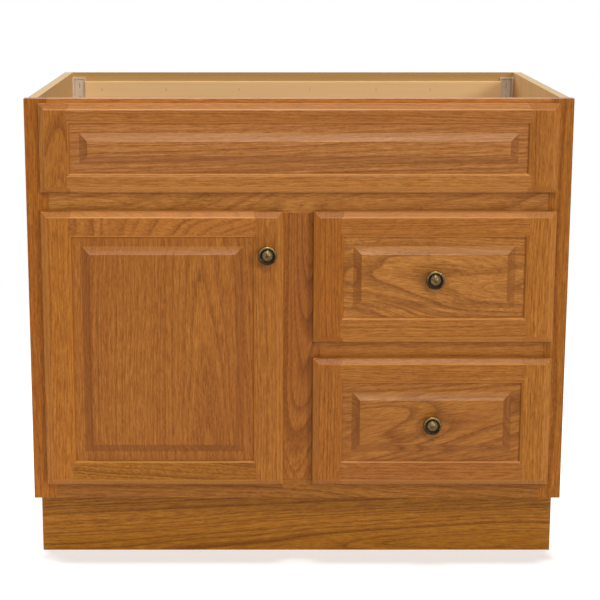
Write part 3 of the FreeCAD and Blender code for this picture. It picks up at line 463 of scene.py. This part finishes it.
def printed_board(name, face, grain, contrast=0.10):
    """Board with printed or plain wood grain: pale even lines about 17 mm apart, no pores, dull."""
    material, tree = start_material(name)
    place = add(tree, "ShaderNodeTexCoord")
    scale = {"X": (1.5, 60.0, 60.0), "Y": (60.0, 1.5, 60.0), "Z": (60.0, 60.0, 1.5)}[grain]
    stretch = add(tree, "ShaderNodeMapping", {"Vector": place.outputs["Object"], "Scale": scale})
    grain_noise = add(tree, "ShaderNodeTexNoise", {"Vector": stretch.outputs[0], "Scale": 1.0,
                                                   "Detail": 4.0, "Roughness": 0.6})
    streak = add(tree, "ShaderNodeMapRange", {0: grain_noise.outputs["Fac"], 1: 0.3, 2: 0.7,
                                              3: 1.0 - contrast, 4: 1.0 + contrast * 0.4})
    shades = add(tree, "ShaderNodeVectorMath", {0: face, 1: streak.outputs[0]},
                 operation="MULTIPLY")
    return material, tree, place, shades.outputs[0]


class VANITY_OT_panels(bpy.types.Operator):
    """Finishes the side panels, bottom, partition, back, hanging rail and drawer boxes"""
    bl_idname = "vanity.panels"
    bl_label = "Panels and boxes"

    def execute(self, context):
        panel = context.scene.vanity_panels
        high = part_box("right_side_panel")[1]
        # Particle board with oak-printed paper outside, smooth and even; its cut edge on top is
        # pale, with chips of 2 to 3 mm and the paper's grey line
        # The inner faces take the paler side colour, which is painted light for faces that lie in
        # shade
        material, tree, place, inner = printed_board("printed_side_board", panel.side, "Z")
        parts = add(tree, "ShaderNodeSeparateXYZ", {0: place.outputs["Object"]})
        out_way = add(tree, "ShaderNodeMath", {0: parts.outputs[0]}, operation="ABSOLUTE")
        at_edge = add(tree, "ShaderNodeMath", {0: out_way, 1: high.x - panel.paper_width},
                      operation="GREATER_THAN")
        outside = add(tree, "ShaderNodeMath", {0: out_way, 1: high.x - OUTER_SKIN},
                      operation="GREATER_THAN")
        on_top = add(tree, "ShaderNodeMath", {0: parts.outputs[2], 1: high.z - CUT_SKIN},
                     operation="GREATER_THAN")
        chip_scale = add(tree, "ShaderNodeTexNoise",
                         {"Vector": place.outputs["Object"], "Scale": 420.0, "Detail": 2.0})
        chip = add(tree, "ShaderNodeMix", {0: chip_scale, 6: (*linear(CHIP_SHADE), 1.0),
                                           7: (*panel.chips, 1.0)}, data_type="RGBA")
        edge = add(tree, "ShaderNodeMix", {0: at_edge, 6: chip, 7: (*panel.paper, 1.0)},
                   data_type="RGBA")
        # The print's streaks are 8 mm apart, soft and straight
        veneer_map = add(tree, "ShaderNodeMapping", {"Vector": place.outputs["Object"],
                                                     "Scale": (120.0, 120.0, 3.0)})
        veneer_noise = add(tree, "ShaderNodeTexNoise", {"Vector": veneer_map.outputs[0],
                                                        "Scale": 1.0, "Detail": 5.0,
                                                        "Roughness": 0.6})
        veneer = add(tree, "ShaderNodeMix", {0: veneer_noise, 6: (*linear(PRINT_DARK), 1.0),
                                             7: (*linear(PRINT_PALE), 1.0)}, data_type="RGBA")
        colour_in = add(tree, "ShaderNodeMix", {0: outside, 6: inner, 7: veneer}, data_type="RGBA")
        colour_all = add(tree, "ShaderNodeMix", {0: on_top, 6: colour_in, 7: edge},
                         data_type="RGBA")
        # The faces have a thin satin coat; the cut edge is raw chips and fully matt
        rough = add(tree, "ShaderNodeMapRange", {0: on_top, 3: 0.45, 4: 1.0})
        close_material(tree, Base_Color=colour_all, Roughness=rough, Specular_IOR_Level=0.15)
        finish(material, "left_side_panel", "right_side_panel")

        # The same board inside the cupboard: pale maple print with a low sheen
        material, tree, place, face = printed_board("printed_shelf_board", panel.face, "Y")
        close_material(tree, Base_Color=face, Roughness=0.5, Specular_IOR_Level=0.2)
        finish(material, "bottom_panel", "partition_panel", "runner_blocks")

        # The hanging rail's print is plainer, a shade paler and quite matt; its sawn edge on top
        # is darker raw board
        material, tree, place, face = printed_board("printed_rail_board", panel.rail, "X", 0.06)
        facing = add(tree, "ShaderNodeSeparateXYZ", {0: place.outputs["Normal"]})
        sawn = add(tree, "ShaderNodeMapRange",
                   {0: facing.outputs[2], 1: 0.5, 2: 1.0, 3: 1.0, 4: 0.72})
        face = add(tree, "ShaderNodeVectorMath", {0: face, 1: sawn}, operation="MULTIPLY")
        close_material(tree, Base_Color=face, Roughness=0.8, Specular_IOR_Level=0.1)
        finish(material, "hanging_rail")

        # Hardboard under thin brown paper: darker and dull
        material, tree, place, face = printed_board("printed_hardboard", panel.back, "X", 0.12)
        close_material(tree, Base_Color=face, Roughness=0.8, Specular_IOR_Level=0.2)
        finish(material, "back_panel")

        # Clear-coated birch: creamy, with faint lines and a soft gloss
        material, tree, place, face = printed_board("birch_drawer_board", panel.box, "Y", 0.12)
        close_material(tree, Base_Color=face, Roughness=0.4)
        finish(material, "upper_drawer_sides", "lower_drawer_sides", "upper_drawer_bottom",
               "lower_drawer_bottom")
        material, tree, place, face = printed_board("birch_drawer_end", panel.box, "X", 0.12)
        close_material(tree, Base_Color=face, Roughness=0.4)
        finish(material, "upper_drawer_ends", "lower_drawer_ends")
        return {"FINISHED"}


# Knobs

def knob_profile(settings):
    """Half section of the knob as (radius, height), from its base round to its button."""
    r, h = settings.radius, settings.reach
    points = [(r * out, h * up) for out, up in KNOB_BACK]
    rim_round = h * RIM_ROUND
    for turn in RIM_TURNS:
        points.append((r - rim_round * (1 - math.sin(math.radians(turn))),
                       h * RIM_TOP - rim_round * (1 - math.cos(math.radians(turn)))))
    points += [(r * out, h * up) for out, up in KNOB_INNER]
    button = r * BUTTON_RADIUS
    rise = h - h * BUTTON_EDGE
    ball = (button ** 2 + rise ** 2) / (2 * rise)
    reach_turn = math.asin(button / ball)
    for step in range(BUTTON_STEPS):
        turn = reach_turn * (1 - step / BUTTON_STEPS)
        points.append((ball * math.sin(turn), h - ball * (1 - math.cos(turn))))
    points.append((0.0, h))
    return points


def make_knob(name, centre, seat_y, settings):
    """Turns the knob about the line along Y through centre, and marks where the brass is dark:
    tarnish in the sunk ring, and painted shade and reflection on the rim's crest and the button.
    """
    mesh = bmesh.new()
    dark_brass_layer = mesh.verts.layers.float.new("tarnish")
    seat = Vector((centre.x, seat_y, centre.z))
    line = [mesh.verts.new(seat + Vector((radius, -height, 0.0)))
            for radius, height in knob_profile(settings)]
    edges = [mesh.edges.new(pair) for pair in zip(line, line[1:])]
    bmesh.ops.spin(mesh, geom=line + edges, cent=seat, axis=(0.0, 1.0, 0.0), angle=2 * math.pi,
                   steps=settings.steps, use_merge=True)
    bmesh.ops.remove_doubles(mesh, verts=mesh.verts, dist=MERGE)
    bmesh.ops.recalc_face_normals(mesh, faces=mesh.faces)
    # Nought is bright brass and one fully dark
    for vert in mesh.verts:
        off = vert.co - seat
        out = math.hypot(off.x, off.z) / settings.radius
        up = -off.y / settings.reach
        if RING_IN < out < RING_OUT and up > RING_LOW:
            vert[dark_brass_layer] = 0.9
        elif out >= RING_OUT and up > CREST_LOW:
            # Fingers rub the rim's crest bright; its being paler above and darker below is painted
            # reflection
            vert[dark_brass_layer] = 0.55 - 0.5 * off.z / (out * settings.radius)
        elif out >= RING_OUT or up < RING_LOW:
            vert[dark_brass_layer] = 0.75
        else:
            # The button darkens towards its middle: a painted reflection of dark surroundings in
            # its flat face
            vert[dark_brass_layer] = 0.3 + 0.4 * max(0.0, 1.0 - out / (RING_IN * 0.8))
    return to_object(mesh, name)


def to_object(mesh, name, smooth=True):
    data = bpy.data.meshes.new(name)
    mesh.to_mesh(data)
    mesh.free()
    for polygon in data.polygons:
        polygon.use_smooth = smooth
    piece = bpy.data.objects.new(name, data)
    bpy.context.scene.collection.objects.link(piece)
    return piece


def antique_brass():
    """Turned brass, dipped dark, rubbed bright again on its high places and lacquered: a soft
    brown-gold shine with a black ring. Its marks also hold painted reflection: the rim's crest
    paler above and darker below, and the button darker in its middle."""
    settings = bpy.context.scene.vanity_knobs
    material, tree = start_material("antique_brass_turned")
    place = add(tree, "ShaderNodeTexCoord")
    mark = add(tree, "ShaderNodeAttribute", attribute_name="tarnish")
    # The dip leaves blotches of 2 to 3 mm
    mottle = add(tree, "ShaderNodeTexNoise",
                 {"Vector": place.outputs["Object"], "Scale": 380.0, "Detail": 3.0})
    patchy = add(tree, "ShaderNodeMath", {0: mottle, 1: 1.5, 2: -0.6}, operation="MULTIPLY_ADD")
    dark = add(tree, "ShaderNodeMath", {0: mark.outputs["Fac"], 1: patchy}, operation="ADD",
               use_clamp=True)
    base = add(tree, "ShaderNodeMix",
               {0: dark, 6: (*settings.brass, 1.0), 7: (*settings.tarnish, 1.0)},
               data_type="RGBA")
    rough = add(tree, "ShaderNodeMath", {0: dark, 1: 0.2, 2: 0.32}, operation="MULTIPLY_ADD")
    close_material(tree, Base_Color=base, Metallic=1.0, Roughness=rough, Coat_Weight=0.2,
                   Coat_Roughness=0.2)
    return material


class VANITY_OT_knobs(bpy.types.Operator):
    """Turns the three knobs, with their rim, sunk ring and domed button"""
    bl_idname = "vanity.knobs"
    bl_label = "Knobs"

    def execute(self, context):
        settings = context.scene.vanity_knobs
        brass = antique_brass()
        for node, body in (("door_knob", "door"), ("upper_drawer_knob", "upper_drawer"),
                           ("lower_drawer_knob", "lower_drawer")):
            low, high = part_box(node)
            piece = make_knob(node + "_turned", (low + high) / 2, high.y, settings)
            piece.data.materials.append(brass)
            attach(piece, body)
            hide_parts(node)
        return {"FINISHED"}


# Screws with a cross recess

def loose_parts(node):
    """The corners of each separate solid of a CAD node."""
    mesh = bmesh.new()
    mesh.from_mesh(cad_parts[node].data)
    bmesh.ops.remove_doubles(mesh, verts=mesh.verts, dist=SAME_POINT)
    reached = set()
    found = []
    for first in mesh.verts:
        if first in reached:
            continue
        reached.add(first)
        group = [first]
        for here in group:
            for edge in here.link_edges:
                other = edge.other_vert(here)
                if other not in reached:
                    reached.add(other)
                    group.append(other)
        found.append([vert.co.copy() for vert in group])
    mesh.free()
    return found


def screw_place(points):
    """Centre of the head's outer face, the way out of the head, and the screw's sizes."""
    low = Vector([min(point[axis] for point in points) for axis in range(3)])
    high = Vector([max(point[axis] for point in points) for axis in range(3)])
    size = high - low
    axis = max(range(3), key=lambda index: size[index])
    centre = (low + high) / 2
    line = Vector([float(index == axis) for index in range(3)])

    def reach_at(end):
        near = [point for point in points if abs(point[axis] - end) < END_REACH]
        return max((point - centre).cross(line).length for point in near)

    low_reach, high_reach = reach_at(low[axis]), reach_at(high[axis])
    at_low = low_reach > high_reach
    top = centre.copy()
    top[axis] = low[axis] if at_low else high[axis]
    way = -line if at_low else line
    return top, way, max(low_reach, high_reach), min(low_reach, high_reach), size[axis]


def cross_screw(settings, head, shank, length_all, flat):
    """Screw along +Z with its head's outer face at zero: head, shank and a cross recess."""
    mesh = bmesh.new()
    section, depth = (FLAT_HEAD, FLAT_DEPTH) if flat else (ROUND_HEAD, ROUND_DEPTH)
    points = [(head * out, height) for out, height in section]
    points += [(shank, -depth), (shank, -length_all + shank), (0.0, -length_all)]
    line = [mesh.verts.new((radius, 0.0, height)) for radius, height in points]
    edges = [mesh.edges.new(pair) for pair in zip(line, line[1:])]
    bmesh.ops.spin(mesh, geom=line + edges, cent=(0, 0, 0), axis=(0, 0, 1), angle=2 * math.pi,
                   steps=SCREW_STEPS, use_merge=True)
    bmesh.ops.remove_doubles(mesh, verts=mesh.verts, dist=MERGE)
    bmesh.ops.recalc_face_normals(mesh, faces=mesh.faces)
    body = to_object(mesh, "screw_body", smooth=False)

    cutter_mesh = bmesh.new()
    for turn in (0.0, math.pi / 2):
        made = bmesh.ops.create_cube(cutter_mesh, size=1.0)["verts"]
        bmesh.ops.scale(cutter_mesh,
                        vec=(settings.recess_width, RECESS_SLOT, settings.recess_depth * 2),
                        verts=made)
        bmesh.ops.rotate(cutter_mesh, matrix=Matrix.Rotation(turn, 3, "Z"), verts=made)
    cutter = to_object(cutter_mesh, "screw_cutter", smooth=False)
    cut = body.modifiers.new("recess", "BOOLEAN")
    cut.operation = "DIFFERENCE"
    cut.object = cutter
    cut.use_self = True
    depsgraph = bpy.context.evaluated_depsgraph_get()
    done = bpy.data.meshes.new_from_object(body.evaluated_get(depsgraph))
    for piece in (body, cutter):
        data = piece.data
        bpy.data.objects.remove(piece)
        bpy.data.meshes.remove(data)
    return done


def place_screws(node, body, material, flat=False):
    """Sets cross-recessed screws where a CAD node's plain screws are."""
    settings = bpy.context.scene.vanity_fittings
    whole = bmesh.new()
    patterns = {}
    for points in loose_parts(node):
        top, way, head, shank, length_all = screw_place(points)
        key = (round(head, 4), round(length_all, 4))
        if key not in patterns:
            patterns[key] = cross_screw(settings, head, shank, length_all, flat)
        turn = Vector((0.0, 0.0, 1.0)).rotation_difference(way).to_matrix().to_4x4()
        twist = Matrix.Rotation(sum(top) * TWIST, 4, "Z")
        copy = bmesh.new()
        copy.from_mesh(patterns[key])
        bmesh.ops.transform(copy, matrix=Matrix.Translation(top) @ turn @ twist, verts=copy.verts)
        data = bpy.data.meshes.new("screw")
        copy.to_mesh(data)
        copy.free()
        whole.from_mesh(data)
        bpy.data.meshes.remove(data)
    for data in patterns.values():
        bpy.data.meshes.remove(data)
    piece = to_object(whole, node + "_cross_recess", smooth=False)
    piece.data.materials.append(material)
    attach(piece, body)
    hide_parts(node)


def plated(name, tone, roughness, metallic=1.0, mottle=0.10):
    """An even finish with faint cloudy patches about 5 mm wide, as plating and moulding leave."""
    material, tree = start_material(name)
    place = add(tree, "ShaderNodeTexCoord")
    noise = add(tree, "ShaderNodeTexNoise",
                {"Vector": place.outputs["Object"], "Scale": 180.0, "Detail": 3.0})
    level = add(tree, "ShaderNodeMapRange",
                {0: noise.outputs["Fac"], 1: 0.3, 2: 0.7, 3: 1.0 - mottle, 4: 1.0})
    base = add(tree, "ShaderNodeVectorMath", {0: tone, 1: level.outputs[0]}, operation="MULTIPLY")
    rough = add(tree, "ShaderNodeMapRange", {0: noise.outputs["Fac"], 1: 0.3, 2: 0.7,
                                             3: roughness, 4: roughness + 0.08})
    close_material(tree, Base_Color=base.outputs[0], Metallic=metallic, Roughness=rough.outputs[0])
    return material


class VANITY_OT_fittings(bpy.types.Operator):
    """Finishes hinges, runners, rollers, braces, nails and bumpers, and makes the screws"""
    bl_idname = "vanity.fittings"
    bl_label = "Fittings"

    def execute(self, context):
        settings = context.scene.vanity_fittings
        # Zinc plate: bluish grey, its shine a little blurred
        zinc = plated("zinc_plated_steel", settings.zinc, 0.30)
        # Nickel plate: a clean, slightly warm mirror
        finish(plated("nickel_plated_steel", settings.nickel, 0.22), "hinge_cups", "hinge_arms")
        finish(zinc, "hinge_pins", "front_roller_rivets", "upper_drawer_rivets",
               "lower_drawer_rivets")
        # Plain drawn wire goes dull and brown in the box
        finish(plated("drawn_steel_wire", linear(STAPLE), 0.5, 0.3), "brace_staples")
        # Nail heads set flush and rubbed with filler: tan dots, hardly shiny
        finish(plated("bright_wire_nails", linear(NAIL), 0.6, 0.1), "hanging_rail_nails")
        # Powder coating: smooth, thick and slightly orange-peeled, not metallic
        finish(plated("white_epoxy_on_steel", settings.enamel, 0.32, 0.0, 0.04),
               "upper_cabinet_runners", "lower_cabinet_runners", "upper_drawer_runners",
               "lower_drawer_runners")
        # Moulded nylon: milky, smooth, half matt
        finish(plated("white_nylon_moulded", settings.nylon, 0.45, 0.0, 0.05),
               "upper_front_rollers", "lower_front_rollers", "upper_rear_rollers",
               "lower_rear_rollers")
        # Moulded polystyrene: cream, with a waxy sheen and slight shading from the mould
        finish(plated("polystyrene_moulded", settings.brace, 0.38, 0.0, 0.12), "corner_braces")
        # Vinyl dots: pale and shiny
        finish(plated("clear_vinyl_bumper", linear(BUMPER), 0.3, 0.0, 0.03), "bumpers")
        place_screws("hinge_arm_screws", "cabinet", zinc)
        place_screws("runner_screws", "cabinet", zinc)
        place_screws("false_front_screws", "cabinet", zinc)
        place_screws("door_knob_screw", "door", zinc)
        place_screws("hinge_cup_screws", "door", zinc, flat=True)
        place_screws("upper_drawer_screws", "upper_drawer", zinc)
        place_screws("lower_drawer_screws", "lower_drawer", zinc)
        return {"FINISHED"}


# Studio

def seen_by_eye(tree):
    """One for rays from the camera or off a mirror or glass, zero for rays that light things."""
    path = add(tree, "ShaderNodeLightPath")
    mirrored = add(tree, "ShaderNodeMath", {0: path.outputs["Is Camera Ray"],
                                            1: path.outputs["Is Glossy Ray"]}, operation="MAXIMUM")
    return add(tree, "ShaderNodeMath", {0: mirrored, 1: path.outputs["Is Transmission Ray"]},
               operation="MAXIMUM")


class VANITY_OT_studio(bpy.types.Operator):
    """Sets the pale floor, soft light, white surroundings and camera"""
    bl_idname = "vanity.studio"
    bl_label = "Studio"

    def execute(self, context):
        settings = context.scene.vanity_studio
        scene = context.scene
        scene.view_settings.view_transform = "Standard"

        mesh = bmesh.new()
        bmesh.ops.create_grid(mesh, x_segments=2, y_segments=2, size=FLOOR_REACH)
        floor = to_object(mesh, "studio_floor", smooth=False)
        # Matt painted floor: pale under the object's shadow, plain white further out
        material, tree = start_material("painted_studio_floor")
        place = add(tree, "ShaderNodeTexCoord")
        away = add(tree, "ShaderNodeVectorMath", {0: place.outputs["Object"]}, operation="LENGTH")
        fade = add(tree, "ShaderNodeMapRange",
                   {0: away.outputs["Value"], 1: FLOOR_FADE[0], 2: FLOOR_FADE[1]},
                   interpolation_type="SMOOTHSTEP")
        seen = seen_by_eye(tree)
        paint = add(tree, "ShaderNodeBsdfDiffuse", {"Color": (*settings.floor, 1.0)})
        lift_size = add(tree, "ShaderNodeMath", {0: seen, 1: FLOOR_LIFT}, operation="MULTIPLY")
        lift = add(tree, "ShaderNodeEmission", {"Color": WHITE, "Strength": lift_size})
        near = add(tree, "ShaderNodeAddShader", {0: paint.outputs[0], 1: lift.outputs[0]})
        glow = add(tree, "ShaderNodeEmission", {"Color": WHITE, "Strength": 1.0})
        turn_white = add(tree, "ShaderNodeMath", {0: fade, 1: seen}, operation="MULTIPLY")
        whole = add(tree, "ShaderNodeMixShader",
                    {0: turn_white, 1: near.outputs[0], 2: glow.outputs[0]})
        add(tree, "ShaderNodeOutputMaterial", {"Surface": whole.outputs[0]})
        floor.data.materials.append(material)

        world = bpy.data.worlds.new("studio")
        world.use_nodes = True
        world.node_tree.nodes.clear()
        tree = world.node_tree
        strength = add(tree, "ShaderNodeMath", {0: seen_by_eye(tree), 1: 1.0 - settings.room,
                                                2: settings.room}, operation="MULTIPLY_ADD")
        sky = add(tree, "ShaderNodeBackground", {"Color": WHITE, "Strength": strength})
        add(tree, "ShaderNodeOutputWorld", {"Surface": sky.outputs[0]})
        scene.world = world

        for name, towards, spread in LAMPS:
            lamp = bpy.data.lights.new(name, "SUN")
            lamp.energy = getattr(settings, name)
            lamp.angle = math.radians(spread)
            holder = bpy.data.objects.new(name, lamp)
            holder.rotation_mode = "QUATERNION"
            holder.rotation_quaternion = Vector(towards).to_track_quat("-Z", "Y")
            scene.collection.objects.link(holder)

        camera = bpy.data.cameras.new("camera")
        camera.lens = settings.lens
        camera.sensor_width = SENSOR
        camera.shift_x, camera.shift_y = SHIFT
        camera.clip_end = VIEW_REACH
        holder = bpy.data.objects.new("camera", camera)
        holder.location = (settings.camera_x, settings.camera_y, settings.camera_z)
        holder.rotation_euler = (math.pi / 2 - settings.tilt, 0.0, 0.0)
        scene.collection.objects.link(holder)
        scene.camera = holder
        return {"FINISHED"}


class VANITY_PT_panel(bpy.types.Panel):
    bl_idname = "VANITY_PT_panel"
    bl_label = "Bath vanity cabinet"
    bl_space_type = "VIEW_3D"
    bl_region_type = "UI"
    bl_category = "Vanity"

    def draw(self, context):
        for settings, operators in PIECES:
            group = getattr(context.scene, settings)
            area = self.layout.box()
            for name in group.__annotations__:
                area.prop(group, name)
            for operator in operators:
                area.operator(operator)


PIECES = (
    ("vanity_oak", ("vanity.oak",)),
    ("vanity_panels", ("vanity.panels",)),
    ("vanity_knobs", ("vanity.knobs",)),
    ("vanity_fittings", ("vanity.fittings",)),
    ("vanity_studio", ("vanity.studio",)),
)
SETTINGS = {
    "vanity_oak": OakSettings,
    "vanity_panels": PanelSettings,
    "vanity_knobs": KnobSettings,
    "vanity_fittings": FittingSettings,
    "vanity_studio": StudioSettings,
}
CLASSES = (*SETTINGS.values(), VANITY_OT_oak, VANITY_OT_panels, VANITY_OT_knobs,
           VANITY_OT_fittings, VANITY_OT_studio, VANITY_PT_panel)


def register():
    for item in CLASSES:
        bpy.utils.register_class(item)
    for name, group in SETTINGS.items():
        setattr(bpy.types.Scene, name, PointerProperty(type=group))


def unregister():
    for name in SETTINGS:
        delattr(bpy.types.Scene, name)
    for item in reversed(CLASSES):
        bpy.utils.unregister_class(item)


def main():
    register()
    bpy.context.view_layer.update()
    bpy.ops.vanity.oak()
    bpy.ops.vanity.panels()
    bpy.ops.vanity.knobs()
    bpy.ops.vanity.fittings()
    bpy.ops.vanity.studio()


if __name__ == "__main__":
    main()
